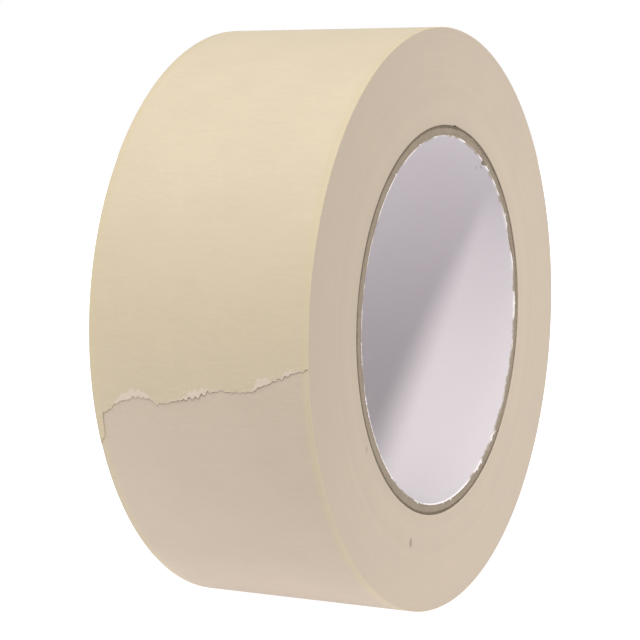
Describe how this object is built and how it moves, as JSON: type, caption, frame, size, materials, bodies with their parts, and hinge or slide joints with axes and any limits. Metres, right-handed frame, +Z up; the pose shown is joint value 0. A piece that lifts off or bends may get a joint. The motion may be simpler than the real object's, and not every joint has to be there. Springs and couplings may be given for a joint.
{
  "type": "masking tape roll",
  "caption": "Wide roll of cream creped-paper masking tape on a white-lined spiral board core, standing on its tread, with a torn free end that lifts and peels back.",
  "frame": {"origin": "on the ground under the middle of the roll, which stands on its tread", "axes": "+X along the roll's axis, out of the side face nearest the viewer; +Z up; the torn end of the tape lies on the -Y side"},
  "size_m": [0.048, 0.1209, 0.1209],
  "materials": {
    "crepe_tape": "matt creped paper with a thin release coat, pale cream",
    "kraft_board": "rough cut grey-brown kraft board",
    "white_liner": "smooth white paper, slightly lilac"
  },
  "bodies": {
    "roll": {"core_liner": "white_liner", "core_kraft_ply_1": "kraft_board", "core_kraft_ply_2": "kraft_board", "core_kraft_ply_3": "kraft_board", "core_kraft_ply_4": "kraft_board", "core_kraft_ply_5": "kraft_board", "wound_tape": "crepe_tape"},
    "tape_end_1": {"tape_end_1": "crepe_tape"},
    "tape_end_2": {"tape_end_2": "crepe_tape"},
    "tape_end_3": {"tape_end_3": "crepe_tape"},
    "tape_end_4": {"tape_end_4": "crepe_tape"},
    "tape_end_5": {"tape_end_5": "crepe_tape"},
    "tape_end_6": {"tape_end_6": "crepe_tape"},
    "tape_end_7": {"tape_end_7": "crepe_tape"},
    "tape_end_8": {"tape_end_8": "crepe_tape"}
  },
  "joints": [
    {"name": "peel_1", "type": "hinge", "parent": "roll", "child": "tape_end_1", "pos_m": [0, -0.03368, 0.11081], "axis": [-1, 0, 0], "range_deg": [0, 20]},
    {"name": "peel_2", "type": "hinge", "parent": "tape_end_1", "child": "tape_end_2", "pos_m": [0, -0.03998, 0.10598], "axis": [-1, 0, 0], "range_deg": [0, 20]},
    {"name": "peel_3", "type": "hinge", "parent": "tape_end_2", "child": "tape_end_3", "pos_m": [0, -0.04558, 0.10037], "axis": [-1, 0, 0], "range_deg": [0, 20]},
    {"name": "peel_4", "type": "hinge", "parent": "tape_end_3", "child": "tape_end_4", "pos_m": [0, -0.05041, 0.09408], "axis": [-1, 0, 0], "range_deg": [0, 20]},
    {"name": "peel_5", "type": "hinge", "parent": "tape_end_4", "child": "tape_end_5", "pos_m": [0, -0.05438, 0.08721], "axis": [-1, 0, 0], "range_deg": [0, 20]},
    {"name": "peel_6", "type": "hinge", "parent": "tape_end_5", "child": "tape_end_6", "pos_m": [0, -0.05741, 0.07988], "axis": [-1, 0, 0], "range_deg": [0, 20]},
    {"name": "peel_7", "type": "hinge", "parent": "tape_end_6", "child": "tape_end_7", "pos_m": [0, -0.05946, 0.07222], "axis": [-1, 0, 0], "range_deg": [0, 20]},
    {"name": "peel_8", "type": "hinge", "parent": "tape_end_7", "child": "tape_end_8", "pos_m": [0, -0.0605, 0.06436], "axis": [-1, 0, 0], "range_deg": [0, 20]}
  ]
}
